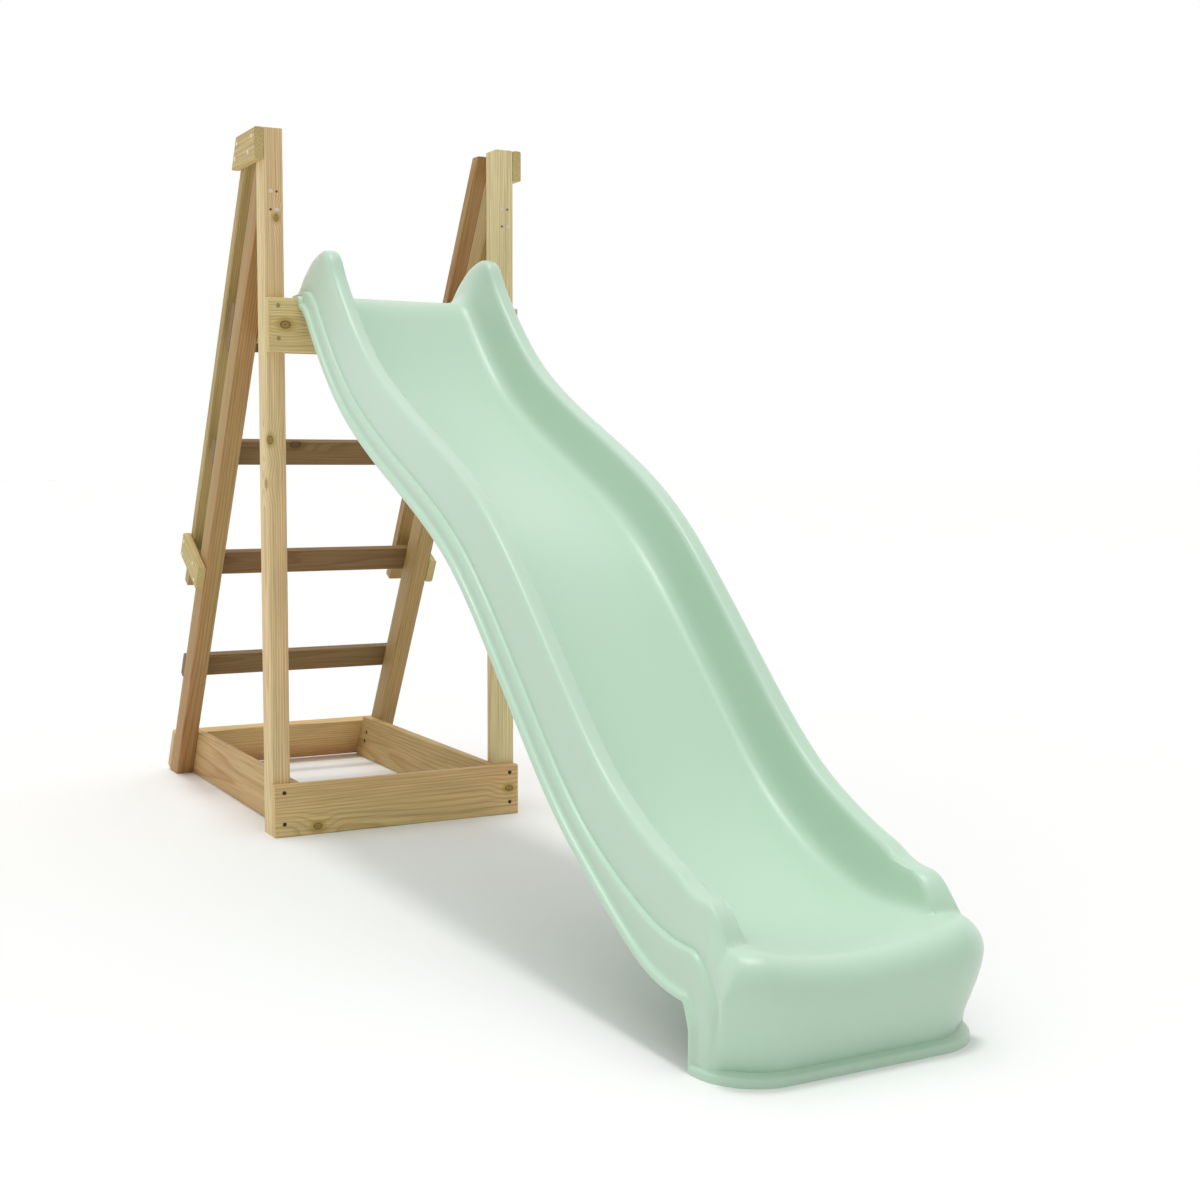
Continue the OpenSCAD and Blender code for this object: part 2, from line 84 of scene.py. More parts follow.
# The chute: one moulded shell. Lengths in mm, measured from the posts' front and the floor.
chute = {
    "wallThickness": 5,
    "wallHeight": 100,
    "skirtDepth": 27,
    "rimWidth": 36,
    "rimSetback": 29,
    "entryShare": 0.13,  # the wall's height at the tab's end, as a share of the full wall
    "earPeak": 90,
    "earBlunt": {"at": 118, "halfLength": 32, "rise": 0.16},
    "wallFall": {"from": 0.86, "over": 0.07, "share": 0.2},  # shares of the run, and of the wall
    "dishLength": 60,
    "endDishFrom": 0.8,  # shares of the run
    "endSkirtFrom": 0.745,
    "endOver": 0.19,
    "stepDepth": 8,
    "endHeight": 165,
    "endDish": 22,
    "endSkirt": 35,
    "lipHeight": 14,
    "rollHeight": 44,
    "rollOverhang": 8,
    "rollReach": 3,
    "rollCorner": 96,
    "sideCorner": 70,
    "faceInset": 12,
    "faceSetback": 26,
    "footCorner": 100,
    "footGap": 18,
    "lipSetback": 12,
    "rimEndStart": 135,
    "rimEndLength": 70,
    "rimEndSkew": 14,
    "noseRows": 44,
    "faceRows": 22,
    "stationSpacing": 8,
    "acrossSamples": 2,
}
halfWidth = chuteHigh.x / mm
run = (postFront - chuteLow.y) / mm
tabDepth = (chuteHigh.y - postFront) / mm
bedTop = deckTop / mm + chute["wallThickness"]
beamFront = (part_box("platform_front_beam")[0].y - postFront) / mm

# The bed's course: share of the run, share of the drop from the tab to the nose.
course = np.array([
    [0.000, 0.000], [0.018, 0.001], [0.034, 0.011], [0.060, 0.052], [0.098, 0.122],
    [0.164, 0.220], [0.262, 0.316], [0.377, 0.405], [0.481, 0.501], [0.568, 0.626],
    [0.656, 0.771], [0.743, 0.896], [0.831, 0.973], [0.890, 1.002], [0.926, 1.004],
])


# 0 before 0, 1 after 1, and a smooth step between them.
def ease(a):
    t = np.clip(a, 0, 1)
    return t * t * (3 - 2 * t)


# A natural cubic spline through the points, by chord length: the second derivatives solve the usual
# tridiagonal system, and each stretch is the cubic they give. Returns places and headings.
def smoothPath(points, spacing):
    chord = np.r_[0, np.cumsum(np.linalg.norm(np.diff(points, axis=0), axis=1))]
    h = np.diff(chord)
    n = len(points)
    system = np.eye(n)
    inner = np.arange(1, n - 1)
    system[inner, inner - 1] = h[:-1]
    system[inner, inner] = 2 * (h[:-1] + h[1:])
    system[inner, inner + 1] = h[1:]
    slopes = np.diff(points, axis=0) / h[:, None]
    right = np.zeros_like(points)
    right[1:-1] = 6 * np.diff(slopes, axis=0)
    second = np.linalg.solve(system, right)
    d = np.linspace(0, chord[-1], int(chord[-1] / spacing) + 1)
    k = np.clip(np.searchsorted(chord, d) - 1, 0, n - 2)
    a = ((chord[k + 1] - d) / h[k])[:, None]
    b = 1 - a
    hk = h[k][:, None]
    place = (a * points[k] + b * points[k + 1]
             + ((a ** 3 - a) * second[k] + (b ** 3 - b) * second[k + 1]) * hk ** 2 / 6)
    heading = (slopes[k] + hk / 6 * ((3 * b ** 2 - 1) * second[k + 1] - (3 * a ** 2 - 1) * second[k]))
    return place, heading / np.linalg.norm(heading, axis=1)[:, None]


# A uniform cubic B-spline across the lines (axis 1), with each end line kept: a mirrored phantom line
# stands beyond each end, and every span is weighted by the four basis cubics.
def acrossSpline(lines, samples):
    first = 2 * lines[:, :1] - lines[:, 1:2]
    final = 2 * lines[:, -1:] - lines[:, -2:-1]
    p = np.concatenate([first, lines, final], axis=1)
    spans = lines.shape[1] - 1
    t = np.arange(spans * samples + 1) / samples
    k = np.minimum(t.astype(int), spans - 1)
    f = (t - k)[None, :, None]
    return ((1 - f) ** 3 * p[:, k] + (3 * f ** 3 - 6 * f ** 2 + 4) * p[:, k + 1]
            + (3 * f ** 2 * (1 - f) + 3 * f + 1) * p[:, k + 2] + f ** 3 * p[:, k + 3]) / 6


# Half of the chute's section: out from the middle, up from the bed, direction into the wall,
# share of the nose's outline where the line ends up, height on the roll, inset at the foot.
step = chute["stepDepth"]
skirt = chute["skirtDepth"]
wall = chute["wallHeight"]
rimOut = halfWidth - chute["rimSetback"]
rimIn = rimOut - chute["rimWidth"]
sectionLines = np.array([
    # skirt: the flange and the first moulded step
    [halfWidth, -skirt, -1, 0, 0.000, 60, 0],
    [halfWidth, -skirt + 6, -1, 0, 0.006, 64, 0],
    [halfWidth - 0.6, -skirt + 8.4, -1, -0.4, 0.012, 66, 0.6],
    [halfWidth - 2.8, -skirt + 9.6, -0.8, -0.8, 0.022, 68, 2.8],
    [halfWidth - step + 1.6, -skirt + 10.4, -0.7, -1, 0.036, 70, step - 1.6],
    [halfWidth - step - 3.2, -skirt + 12.2, -0.8, -0.8, 0.046, 73, step],
    # the band, the second step and the outer wall
    [halfWidth - step - 1.6, -skirt + 26, -1, 0, 0.095, 84, step + 0.5],
    [halfWidth - step - 2.6, -skirt + 34, -1, -0.2, 0.130, 92, step + 1],
    [halfWidth - step - 3.6, -skirt + 36.4, -1, -0.5, 0.138, 95, step + 2],
    [halfWidth - step - 6.6, -skirt + 37.6, -0.8, -0.8, 0.150, 97, step + 4],
    [halfWidth - 2 * step - 4.4, -skirt + 38.6, -0.8, -0.8, 0.162, 100, 15],
    [halfWidth - 2 * step - 2, -skirt + 43, -1, -0.2, 0.175, 104, 16],
    [rimOut + 6, 45, -1, 0, 0.235, 122, 16],
    [rimOut + 1.4, 86, -1, 0, 0.290, 0, 16],
    # the rim
    [rimOut - 0.4, 95.5, -0.8, -0.4, 0.318, 0, 16],
    [rimOut - 4.5, 100, -0.4, -1, 0.340, 0, 16],
    [rimOut - 14, 101, 0, -1, 0.368, 0, 16],
    [rimIn + 10, 101, 0, -1, 0.392, 0, 16],
    [rimIn + 4.0, 99.5, 0.4, -1, 0.416, 0, 16],
    [rimIn + 0.4, 95, 0.8, -0.4, 0.440, 0, 16],
    # the inner wall and its fillet into the bed
    [rimIn - 2, 84, 1, 0, 0.462, 0, 16],
    [rimIn - 6.5, 50, 1, 0, 0.490, 0, 16],
    [rimIn - 11, 27, 1, -0.2, 0.515, 0, 16],
    [rimIn - 18, 13, 0.7, -0.7, 0.540, 0, 16],
    [rimIn - 33, 6.5, 0.2, -1, 0.570, 0, 16],
    [rimIn - 60, 4.2, 0, -1, 0.650, 0, 16],
    [rimIn - 100, 1.8, 0, -1, 0.780, 0, 16],
    [rimIn - 140, 0.4, 0, -1, 0.900, 0, 16],
    [0, 0, 0, -1, 1.000, 0, 16],
])
# The flange's lines come first, then the side's, the rim's and the inner wall's.
skirtLines = 6
sideLines = 12
rimLines = 14
innerLines = 20
wallLines = 23


# The lines of the shell's skin at a depth inside the wall, from the tab to the last section: place on the
# bed, plus the line's height times the bed's upright, plus its distance out.
def chuteLines(depth):
    flat = np.array([[tabDepth, bedTop], [tabDepth / 2, bedTop], [0, bedTop]])
    slope = np.c_[-course[1:, 0] * run, bedTop - course[1:, 1] * (bedTop - chute["endHeight"])]
    place, heading = smoothPath(np.r_[flat, slope], chute["stationSpacing"])
    upright = np.c_[heading[:, 1], -heading[:, 0]]
    y = place[:, 0]
    u, v, inU, inV = sectionLines[:, :4].T
    rimY = y + wall * upright[:, 0]
    grown = np.clip((tabDepth - rimY) / (tabDepth + chute["earPeak"]), 0, 1) ** 0.6
    wallShare = chute["entryShare"] + (1 - chute["entryShare"]) * grown
    # The ear's blunt top is a bell curve added to the wall; near the nose the wall falls a little.
    blunt, fall = chute["earBlunt"], chute["wallFall"]
    wallShare += blunt["rise"] * np.exp(-((rimY + blunt["at"]) / blunt["halfLength"]) ** 2)
    wallShare *= 1 - fall["share"] * ease((-y - fall["from"] * run) / (fall["over"] * run))
    nearEnd = ease((-y - chute["endDishFrom"] * run) / (chute["endOver"] * run))
    skirtEnd = ease((-y - chute["endSkirtFrom"] * run) / (chute["endOver"] * run))
    dishShare = ease((beamFront - 1 - y) / chute["dishLength"])
    onTab = 1 - ease((beamFront - 0.3 - y) / 3)
    line = np.arange(len(u))
    height = np.where(line < wallLines + 1, v * wallShare[:, None], v * dishShare[:, None])
    height += np.where(line >= innerLines, chute["endDish"] * nearEnd[:, None] * (u / rimIn) ** 2, 0)
    height += inV * depth
    low = v - chute["endSkirt"] * skirtEnd[:, None] + inV * depth
    onDeck = np.maximum((v + inV * depth + skirt) * 0.5 - chute["wallThickness"], -chute["wallThickness"])
    low = low * (1 - onTab[:, None]) + onDeck * onTab[:, None]
    blendUp = np.clip((line - skirtLines + 1) / 6, 0, 1)
    height = np.where(line < skirtLines, low, height * blendUp + (v + inV * depth) * (1 - blendUp))
    height = np.maximum(height, np.where(onTab[:, None] > 0.5, -chute["wallThickness"], -999))
    x = u + inU * depth
    return np.stack([np.broadcast_to(x, height.shape),
                     place[:, :1] + height * upright[:, :1],
                     place[:, 1:] + height * upright[:, 1:]], axis=2)


# Where the nose's outline starts along its side, a little past the bed's last section.
footStart = -course[-1, 0] * run - chute["footGap"]


# Half of a plan outline by share of its length: a straight side, a quarter circle, a straight front.
# Returns places and the outward direction.
def outline(half, front, corner, share):
    side = front - corner + footStart
    arc = corner * pi / 2
    d = share * (side + arc + half - corner)
    a = np.clip((d - side) / corner, 0, pi / 2)
    x = half - corner + corner * np.cos(a) - np.maximum(d - side - arc, 0)
    y = np.where(d < side, footStart - d, -(front - corner) - corner * np.sin(a))
    return x, y, np.stack([np.cos(a), -np.sin(a), 0 * a], axis=1)


# A cubic Bezier for every line at once: the four points weighted by the Bernstein cubics.
def bezier(p, w):
    w = w[:, None, None]
    return (1 - w) ** 3 * p[0] + 3 * w * (1 - w) ** 2 * p[1] + 3 * w * w * (1 - w) * p[2] + w ** 3 * p[3]


# Height of the nose's top, dished across.
def crown(x, depth):
    return chute["endHeight"] - depth + chute["endDish"] * np.clip(np.abs(x) / rimIn, 0, 1) ** 2


# The same lines carried on from the last section: over the roll, down the face, out on the lip. On the
# roll the height falls as a quarter circle of the plan distance left to its outermost line.
def noseLines(start, depth):
    share, rollZ, footInset = sectionLines[:, 4:].T
    line = np.arange(len(share))
    lip = chute["lipHeight"]
    onRoll = line > sideLines
    sideX, sideY, _ = outline(halfWidth - depth, run - depth, chute["sideCorner"] - depth, share)
    x, y, outward = outline(halfWidth + chute["rollOverhang"] - depth, run + chute["rollReach"] - depth,
                            chute["rollCorner"] - depth, share)
    x = np.where(onRoll, x, sideX)
    y = np.where(onRoll, y, sideY)
    z = np.where(onRoll, crown(x, depth) - chute["rollHeight"] + depth, rollZ)
    roll = np.stack([x - np.where(line < sideLines, footInset, 0), y, z], axis=1)
    reach = np.linalg.norm(start[:, :2] - roll[:, :2], axis=1)[:, None]
    leave = start + reach * [0, -0.34, 0] - [0, 0, 2]
    arrive = roll + reach * np.where(onRoll[:, None], -0.3 * outward, [0, 0.02, 0.3])
    t = np.linspace(0, 1, chute["noseRows"])[1:]
    over = bezier([start, leave, arrive, roll], 1 - (1 - t) ** 2)
    hops = np.linalg.norm(np.diff(over[:, :, :2], axis=0, append=roll[None, :, :2]), axis=2)
    left = np.cumsum(hops[::-1], axis=0)[::-1]
    radius = chute["rollHeight"] - depth
    drop = radius - np.sqrt(radius ** 2 - (radius - np.minimum(left, radius)) ** 2)
    # Each side wall ends in a steep curve, its inner edge before its outer one.
    sooner = chute["rimEndSkew"] * np.clip((rimOut - np.abs(over[:, :, 0])) / chute["rimWidth"], 0, 1)
    past = chute["rimEndStart"] - run - over[:, :, 1] + sooner * (line >= rimLines)
    ended = np.clip(past / chute["rimEndLength"], 0, 1)
    above = (start[:, 2] - crown(start[:, 0], depth)) * (1 - ended ** 2.2)
    over[:, :, 2] = np.where(onRoll, crown(over[:, :, 0], depth) - drop + above, over[:, :, 2])
    corner = chute["footCorner"]
    faceX, faceY, _ = outline(halfWidth - chute["faceInset"] - depth, run - chute["faceSetback"] - depth,
                              corner - depth, share)
    faceX = np.where(line < sideLines, halfWidth - footInset - depth, faceX)
    face = np.stack([faceX, faceY, np.full(len(line), lip + 3.0)], axis=1)
    fall = (roll[:, 2:] - face[:, 2:]) * [0, 0, 1]
    t = np.linspace(0, 1, chute["faceRows"])[1:]
    overFace = bezier([roll, roll - 0.25 * fall, face + 0.35 * (roll - face), face], t)
    # The lip's rings: how far each lies back from the lip's edge, and its height.
    rings = []
    for back, height in ((9, lip + 0.4), (5.5, lip), (3.2, lip - 0.3), (1.4, lip - 1.4),
                         (0.3, lip - 3.2), (0, lip - 5), (0, 0)):
        lipX, lipY, _ = outline(halfWidth - back, run - chute["lipSetback"] - back, corner - back, share)
        lipX = np.maximum(lipX, np.where(line < sideLines, halfWidth - footInset, 0))
        level = np.full(len(line), float(height))
        if depth:
            rings.append(np.stack([face[:, 0], face[:, 1], level], axis=1))
        else:
            rings.append(np.stack([lipX, lipY, level], axis=1))
    return np.concatenate([over, overFace, np.array(rings)])


# One skin of the shell from flange to flange: the half lines, splined across, then mirrored.
def chuteSkin(depth):
    body = chuteLines(depth)
    half = acrossSpline(np.concatenate([body, noseLines(body[-1], depth)]), chute["acrossSamples"])
    return np.concatenate([half[:, :-1] * [-1, 1, 1], half[:, ::-1]], axis=1)


# Indices of the quads between neighbouring rows and columns of a grid.
def gridQuads(rows, columns, first):
    index = first + np.arange(rows * columns).reshape(rows, columns)
    return np.stack([index[:-1, :-1], index[1:, :-1], index[1:, 1:], index[:-1, 1:]], axis=2).reshape(-1, 4)


# A closed shell: both skins, and a strip of quads along each of the four edges.
def makeShell(name, outer, inner):
    rows, columns = outer.shape[:2]
    count = rows * columns
    index = np.arange(count).reshape(rows, columns)
    quads = [gridQuads(rows, columns, 0), gridQuads(rows, columns, count)[:, ::-1]]
    border = np.concatenate([index[0, :-1], index[:-1, -1], index[-1, :0:-1], index[:0:-1, 0]])
    nextOne = np.roll(border, -1)
    quads.append(np.stack([border, nextOne, nextOne + count, border + count], axis=1))
    points = np.concatenate([outer.reshape(-1, 3), inner.reshape(-1, 3)])
    points = points * mm + [0, postFront, 0]
    mesh = bpy.data.meshes.new(name)
    mesh.from_pydata(points.tolist(), [], np.concatenate(quads).tolist())
    mesh.shade_smooth()
    mesh.set_sharp_from_angle(angle=radians(50))
    piece = bpy.data.objects.new(name, mesh)
    scene.collection.objects.link(piece)
    return piece


chuteShell = makeShell("chute_shell", chuteSkin(0), chuteSkin(chute["wallThickness"]))
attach(chuteShell, "root")
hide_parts("slide_chute")
print("chute built:", len(chuteShell.data.polygons), "faces")


# Moulded polyethylene, satin from the mould: a broad soft highlight and a slight waxy glow.
mouldedPlastic = {
    "colour": "#bfdcc5",
    "shade": "#b9d9c0",
    "roughness": 0.36,
    "sheen": 0.5,
    "sheenRoughness": 0.5,
    "peelWidth": 1 / 330,
}


# Its colour drifts a little in wide soft clouds.
def polyethylene():
    material, tree, shader = newMaterial("moulded_polyethylene")
    place = addNode(tree, "ShaderNodeTexCoord")
    clouds = addNode(tree, "ShaderNodeTexNoise", {"Scale": 2.5, "Detail": 2.0},
                     {"Vector": place.outputs["Object"]})
    tint = addNode(tree, "ShaderNodeMix", {"data_type": "RGBA", 6: linearColour(mouldedPlastic["colour"]),
                                           7: linearColour(mouldedPlastic["shade"])},
                   {0: clouds.outputs["Fac"]})
    tree.links.new(tint.outputs[2], shader.inputs["Base Color"])
    # The mould's fine peel, drawn about 3 mm across so that it shows.
    peel = addNode(tree, "ShaderNodeTexNoise", {"Scale": 1 / mouldedPlastic["peelWidth"], "Detail": 1.0},
                   {"Vector": place.outputs["Object"]})
    bump = addNode(tree, "ShaderNodeBump", {"Strength": 0.03, "Distance": 0.0004},
                   {"Height": peel.outputs["Fac"]})
    tree.links.new(bump.outputs["Normal"], shader.inputs["Normal"])
    shader.inputs["Roughness"].default_value = mouldedPlastic["roughness"]
    shader.inputs["Sheen Weight"].default_value = mouldedPlastic["sheen"]
    shader.inputs["Sheen Roughness"].default_value = mouldedPlastic["sheenRoughness"]
    shader.inputs["IOR"].default_value = 1.5
    return material


# Planed softwood, pressure treated: pale straw to brown with a green cast, fine fibres along
# the board, soft growth rings and a few knots. Lengths in metres.
pine = {
    "early": "#ecd6a8",
    "late": "#c09561",
    "green": "#cdc68c",
    "brown": "#c7935f",
    "knot": "#7d5a34",
    "halo": "#b39c4c",
    "ringWidth": 0.0065,
    "ringWander": 0.075,
    "pithSpacing": (0.13, 0.09),
    "knotSwell": 0.011,
    "fibreWidth": 0.0011,
    "roughness": 0.62,
}


# Pine with its grain along local Z after the turn (Euler degrees). Growth rings are steps of the distance
# from a pith line, wandering with stretched noise; the distance is folded so that every board lies near a
# pith. Each knot is a spot by distance from its centre, longer along the grain.
def pineTimber(name, turn, knots=(), seed=0.0, tint=(1, 1, 1)):
    material, tree, shader = newMaterial(name)
    place = addNode(tree, "ShaderNodeTexCoord")
    angles = [radians(a) for a in turn]
    grain = addNode(tree, "ShaderNodeMapping", {"vector_type": "TEXTURE", "Rotation": angles},
                    {"Vector": place.outputs["Object"]})
    grainPlace = grain.outputs["Vector"]
    shift = addNode(tree, "ShaderNodeVectorMath", {"operation": "ADD", 1: (seed, seed * 1.7, seed * 0.6)},
                    {0: grainPlace})
    # Each board is its own cut: cells wider than a board move the rings about.
    stretched = addNode(tree, "ShaderNodeVectorMath", {"operation": "MULTIPLY", 1: (1, 1, 0.1)},
                        {0: shift.outputs[0]})
    wander = addNode(tree, "ShaderNodeTexNoise", {"Scale": 7.0, "Detail": 2.0, "Roughness": 0.45},
                     {"Vector": stretched.outputs[0]})
    nearest = None
    for centre, size in knots:
        away = addNode(tree, "ShaderNodeVectorMath", {"operation": "SUBTRACT", 1: centre},
                       {0: place.outputs["Object"]})
        turned = addNode(tree, "ShaderNodeMapping", {"vector_type": "TEXTURE", "Rotation": angles},
                         {"Vector": away.outputs[0]})
        squeezed = addNode(tree, "ShaderNodeVectorMath", {"operation": "MULTIPLY",
                                                          1: (1 / size, 1 / size, 0.72 / size)},
                           {0: turned.outputs["Vector"]})
        length = addNode(tree, "ShaderNodeVectorMath", {"operation": "LENGTH"}, {0: squeezed.outputs[0]})
        if nearest is None:
            nearest = length.outputs["Value"]
        else:
            nearest = addNode(tree, "ShaderNodeMath", {"operation": "SMOOTH_MIN", 2: 0.3},
                              {0: nearest, 1: length.outputs["Value"]}).outputs[0]
    apart = addNode(tree, "ShaderNodeSeparateXYZ", {}, {0: stretched.outputs[0]})
    foldX = addNode(tree, "ShaderNodeMath", {"operation": "PINGPONG", 1: pine["pithSpacing"][0]},
                    {0: apart.outputs["X"]})
    foldY = addNode(tree, "ShaderNodeMath", {"operation": "PINGPONG", 1: pine["pithSpacing"][1]},
                    {0: apart.outputs["Y"]})
    pith = addNode(tree, "ShaderNodeCombineXYZ", {}, {"X": foldX.outputs[0], "Y": foldY.outputs[0]})
    pithDistance = addNode(tree, "ShaderNodeVectorMath", {"operation": "LENGTH"}, {0: pith.outputs[0]})
    radius = addNode(tree, "ShaderNodeMath", {"operation": "MULTIPLY_ADD", 1: pine["ringWander"]},
                     {0: wander.outputs["Fac"], 2: pithDistance.outputs["Value"]})
    ringed = radius.outputs[0]
    if nearest is not None:
        # The grain swells round a knot.
        swell = addNode(tree, "ShaderNodeMapRange", {"interpolation_type": "SMOOTHSTEP", "From Min": 0.0,
                                                     "From Max": 6.0, "To Min": pine["knotSwell"],
                                                     "To Max": 0.0},
                        {"Value": nearest})
        ringed = addNode(tree, "ShaderNodeMath", {"operation": "ADD"},
                         {0: ringed, 1: swell.outputs[0]}).outputs[0]
    rings = addNode(tree, "ShaderNodeMath", {"operation": "MULTIPLY", 1: 1 / pine["ringWidth"]}, {0: ringed})
    saw = addNode(tree, "ShaderNodeMath", {"operation": "FRACT"}, {0: rings.outputs[0]})
    lateWood = addNode(tree, "ShaderNodeValToRGB", {}, {"Fac": saw.outputs[0]})
    ramp = lateWood.color_ramp
    ramp.elements[0].color = linearColour(pine["early"])
    ramp.elements[1].position = 0.97
    ramp.elements[1].color = linearColour(pine["early"])
    middle = ramp.elements.new(0.86)
    middle.color = linearColour(pine["late"])
    soft = ramp.elements.new(0.45)
    soft.color = linearColour(pine["early"])
    # Fibres: long thin streaks, drawn about a millimetre wide so that they show.
    thin = addNode(tree, "ShaderNodeVectorMath", {"operation": "MULTIPLY", 1: (1, 1, 0.018)},
                   {0: shift.outputs[0]})
    fibres = addNode(tree, "ShaderNodeTexNoise", {"Scale": 0.35 / pine["fibreWidth"], "Detail": 3.0,
                                                  "Roughness": 0.6},
                     {"Vector": thin.outputs[0]})
    patches = addNode(tree, "ShaderNodeTexNoise", {"Scale": 5.0, "Detail": 1.0},
                      {"Vector": stretched.outputs[0]})
    tone = addNode(tree, "ShaderNodeMapRange", {"From Min": 0.35, "From Max": 0.68},
                   {"Value": patches.outputs["Fac"]})
    cast = addNode(tree, "ShaderNodeMix", {"data_type": "RGBA", 6: linearColour(pine["green"]),
                                           7: linearColour(pine["brown"])}, {0: tone.outputs[0]})
    base = addNode(tree, "ShaderNodeMix", {"data_type": "RGBA", 0: 0.62},
                   {6: lateWood.outputs["Color"], 7: cast.outputs[2]})
    colour = base.outputs[2]
    if nearest is not None:
        halo = addNode(tree, "ShaderNodeMapRange", {"interpolation_type": "SMOOTHSTEP", "From Min": 0.9,
                                                    "From Max": 2.2, "To Min": 0.75, "To Max": 0.0},
                       {"Value": nearest})
        colour = addNode(tree, "ShaderNodeMix", {"data_type": "RGBA", 7: linearColour(pine["halo"])},
                         {0: halo.outputs[0], 6: colour}).outputs[2]
        ring = addNode(tree, "ShaderNodeValToRGB", {}, {"Fac": nearest})
        spots = ring.color_ramp
        spots.elements[0].color = (1, 1, 1, 1)
        spots.elements[1].position = 1.0
        spots.elements[1].color = (0, 0, 0, 1)
        inside = spots.elements.new(0.35)
        inside.color = (0.35, 0.35, 0.35, 1)
        edge = spots.elements.new(0.82)
        edge.color = (0.9, 0.9, 0.9, 1)
        colour = addNode(tree, "ShaderNodeMix", {"data_type": "RGBA", 7: linearColour(pine["knot"])},
                         {0: ring.outputs["Color"], 6: colour}).outputs[2]
    streak = addNode(tree, "ShaderNodeMapRange", {"From Min": 0.27, "From Max": 0.7, "To Min": 0.74,
                                                  "To Max": 1.1}, {"Value": fibres.outputs["Fac"]})
    # The tint paints light and shade into the timber's colour, lighter or darker for each group of boards as
    # light falls on it.
    grainAndPaintedLight = addNode(tree, "ShaderNodeVectorMath", {"operation": "MULTIPLY", 1: tint}, {0: colour})
    shaded = addNode(tree, "ShaderNodeVectorMath", {"operation": "SCALE"},
                     {0: grainAndPaintedLight.outputs[0], "Scale": streak.outputs[0]})
    tree.links.new(shaded.outputs[0], shader.inputs["Base Color"])
    relief = addNode(tree, "ShaderNodeBump", {"Strength": 0.25, "Distance": 0.0006},
                     {"Height": fibres.outputs["Fac"]})
    tree.links.new(relief.outputs["Normal"], shader.inputs["Normal"])
    shader.inputs["Roughness"].default_value = pine["roughness"]
    shader.inputs["IOR"].default_value = 1.45
    return material


# A plated or coated screw: one colour, satin.
def plainMetal(name, colour, roughness, metallic=1.0):
    material, tree, shader = newMaterial(name)
    shader.inputs["Base Color"].default_value = linearColour(colour)
    shader.inputs["Metallic"].default_value = metallic
    shader.inputs["Roughness"].default_value = roughness
    return material


# Puts one material on each named node, in place of its own.
def give(material, *names):
    for name in names:
        nodes[name].data.materials.clear()
        nodes[name].data.materials.append(material)


chuteShell.data.materials.append(polyethylene())

# Where knots show on each kind of timber, on the board's own face: centre in metres, and radius.
postFace = postFront
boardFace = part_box("base_front_board")[0].y
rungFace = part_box("upper_rung")[0]
knotPlaces = {
    "posts": (((-0.2756, postFace, 1.3854), 0.0065), ((-0.2959, postFace, 0.8964), 0.008),
              ((-0.3040, postFace + 0.0126, 0.7987), 0.008), ((0.284, postFace, 0.62), 0.008)),
    "boards": (((-0.2022, boardFace, 0.0189), 0.0085), ((0.2789, boardFace, 0.0636), 0.0085),
               ((-0.2645, boardFace, 1.1505), 0.010)),
    "rungs": (((-0.10, rungFace.y, rungFace.z + 0.05), 0.012),),
}

# Tints are chosen, and they hold painted light and shade: the rungs' and rear beam's is much darker than the
# rest, painted shade for the deep shade they stand in, and the legs' and handrails' is darker too.
upright = pineTimber("upright_pine", (0, 0, 0), knotPlaces["posts"], seed=0.37, tint=(1.26, 1.24, 1.32))
leaning = pineTimber("leaning_pine_painted_shade", (30, 0, 0), seed=1.9, tint=(0.72, 0.62, 0.48))
across = pineTimber("cross_pine", (0, 90, 0), knotPlaces["boards"], seed=3.1, tint=(1.14, 1.05, 0.96))
shadedAcross = pineTimber("rung_pine_painted_shade", (0, 90, 0), knotPlaces["rungs"], seed=4.2, tint=(0.38, 0.29, 0.21))
frontBack = pineTimber("side_pine", (90, 0, 0), seed=5.6, tint=(0.95, 0.88, 0.76))
plates = pineTimber("plate_pine", (120, 0, 0), seed=6.4, tint=(0.92, 0.87, 0.72))
give(upright, "left_post", "right_post")
give(leaning, "left_leg", "right_leg", "left_handrail", "right_handrail")
give(across, "base_front_board", "base_back_board", "platform_front_beam", "front_deck_board",
     "rear_deck_board")
give(shadedAcross, "lower_rung", "middle_rung", "upper_rung", "platform_rear_beam")
give(frontBack, "left_top_plate", "right_top_plate", "base_left_board", "base_right_board",
     "platform_left_rail", "platform_right_rail")
give(plates, "left_lower_plate", "right_lower_plate")
zinc = plainMetal("zinc_plate", "#ece6d0", 0.5, 0.3)
bronzed = plainMetal("bronzed_zinc_plate", "#b3996c", 0.55, 0.5)
darkScrew = plainMetal("phosphated_steel", "#564636", 0.5)
give(zinc, "post_screws", "top_plate_screws", "lower_plate_screws", "rung_screws",
     "platform_rail_screws", "deck_screws", "chute_screws", "chute_washers")
give(bronzed, "platform_screws")
give(darkScrew, "base_front_screws", "base_back_screws", "base_side_screws")
print("materials given")


# The studio: a pale floor, a soft sky brightest overhead and one soft lamp straight above.
studio = {
    "floor": "#f6f6f5",
    "floorHalf": 60,
    "horizon": 0.22,
    "fromLeft": 0.20,
    "zenith": 1.27,
    "behindGloss": 1.3,
    "frontGloss": 0.15,
    "lampStrength": 0.8,
    "lampSoftness": 9,
    "lampHeight": 4,
    "cameraPlace": (-1.4333, -3.2500, 0.8585),
    "headingRight": 28.14,
    "lookDown": 4.79,
    "roll": 0.18,
    "lens": 50.8,
    "sensorWidth": 36,
}


# A flat square, wide enough to pass for endless.
def makeFloor():
    mesh = bpy.data.meshes.new("floor")
    half = studio["floorHalf"]
    corners = [(-half, -half, 0), (half, -half, 0), (half, half, 0), (-half, half, 0)]
    mesh.from_pydata(corners, [], [(0, 1, 2, 3)])
    floor = bpy.data.objects.new("floor", mesh)
    scene.collection.objects.link(floor)
    material, tree, shader = newMaterial("studio_floor")
    shader.inputs["Base Color"].default_value = linearColour(studio["floor"])
    shader.inputs["Roughness"].default_value = 0.9
    shader.inputs["Specular IOR Level"].default_value = 0.1
    mesh.materials.append(material)


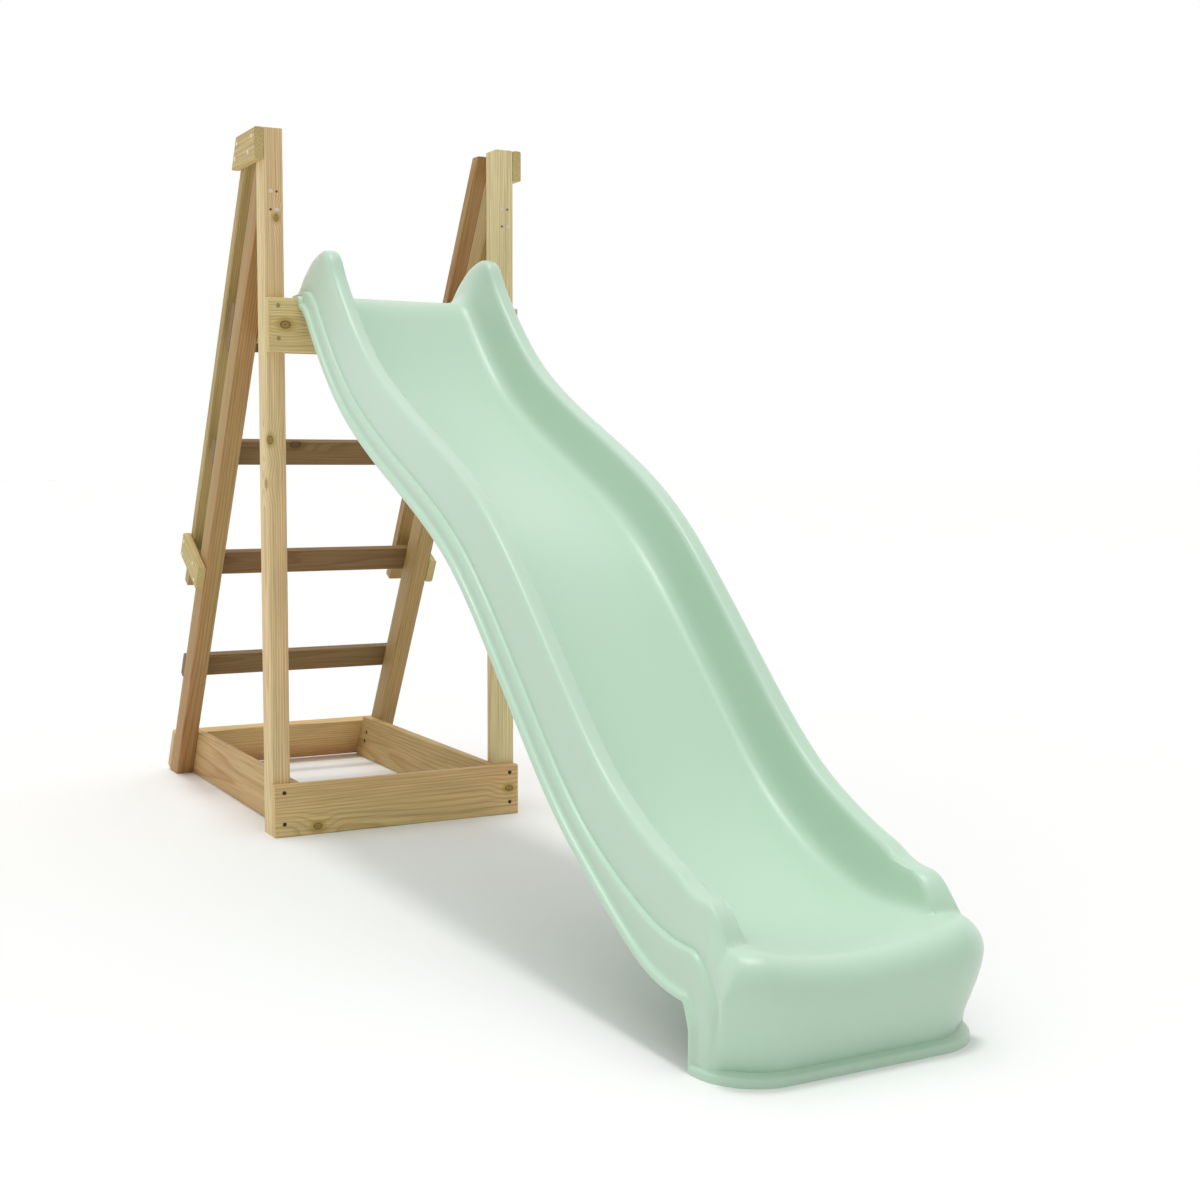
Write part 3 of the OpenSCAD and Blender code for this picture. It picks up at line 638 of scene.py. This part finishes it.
# A soft lamp straight overhead, pointing down.
def makeLamp():
    light = bpy.data.lights.new("lamp", "SUN")
    light.energy = studio["lampStrength"]
    light.angle = radians(studio["lampSoftness"])
    lamp = bpy.data.objects.new("lamp", light)
    lamp.location = (0, 0, studio["lampHeight"])
    scene.collection.objects.link(lamp)


# The sky's light grows with the square of the height and a little to the left. Seen directly it is
# white; its reflection is bright behind the slide and dim in front of it.
def makeSky():
    world = bpy.data.worlds.new("sky")
    scene.world = world
    world.use_nodes = True
    tree = world.node_tree
    place = addNode(tree, "ShaderNodeTexCoord")
    apart = addNode(tree, "ShaderNodeSeparateXYZ", {}, {0: place.outputs["Generated"]})
    square = addNode(tree, "ShaderNodeMath", {"operation": "MULTIPLY"},
                     {0: apart.outputs["Z"], 1: apart.outputs["Z"]})
    glow = addNode(tree, "ShaderNodeMath", {"operation": "MULTIPLY_ADD", 1: studio["zenith"],
                                            2: studio["horizon"]}, {0: square.outputs[0]})
    sided = addNode(tree, "ShaderNodeMath", {"operation": "MULTIPLY_ADD", 1: -studio["fromLeft"]},
                    {0: apart.outputs["X"], 2: glow.outputs[0]})
    ray = addNode(tree, "ShaderNodeLightPath")
    mirrored = addNode(tree, "ShaderNodeMapRange", {"From Min": -0.6, "From Max": 0.4,
                                                    "To Min": studio["frontGloss"],
                                                    "To Max": studio["behindGloss"]},
                       {"Value": apart.outputs["Y"]})
    lit = addNode(tree, "ShaderNodeMix", {}, {0: ray.outputs["Is Glossy Ray"], 2: sided.outputs[0],
                                              3: mirrored.outputs[0]})
    strength = addNode(tree, "ShaderNodeMix", {3: 1.0}, {0: ray.outputs["Is Camera Ray"], 2: lit.outputs[0]})
    background = tree.nodes["Background"]
    background.inputs["Color"].default_value = linearColour("#ffffff")
    tree.links.new(strength.outputs[0], background.inputs["Strength"])


# The camera's three axes from its heading, its tilt down and its roll.
def makeCamera():
    heading, down, roll = (radians(studio[k]) for k in ("headingRight", "lookDown", "roll"))
    forward = Vector((sin(heading) * cos(down), cos(heading) * cos(down), -sin(down)))
    right = Vector((cos(heading), -sin(heading), 0))
    up = right.cross(forward)
    rolledRight = right * cos(roll) + up * sin(roll)
    rolledUp = up * cos(roll) - right * sin(roll)
    axes = Matrix((rolledRight, rolledUp, -forward)).transposed().to_4x4()
    lens = bpy.data.cameras.new("camera")
    lens.lens = studio["lens"]
    lens.sensor_width = studio["sensorWidth"]
    camera = bpy.data.objects.new("camera", lens)
    camera.matrix_world = Matrix.Translation(studio["cameraPlace"]) @ axes
    scene.collection.objects.link(camera)
    scene.camera = camera


makeFloor()
makeSky()
makeLamp()
scene.view_settings.view_transform = "Standard"
makeCamera()
print("studio ready")
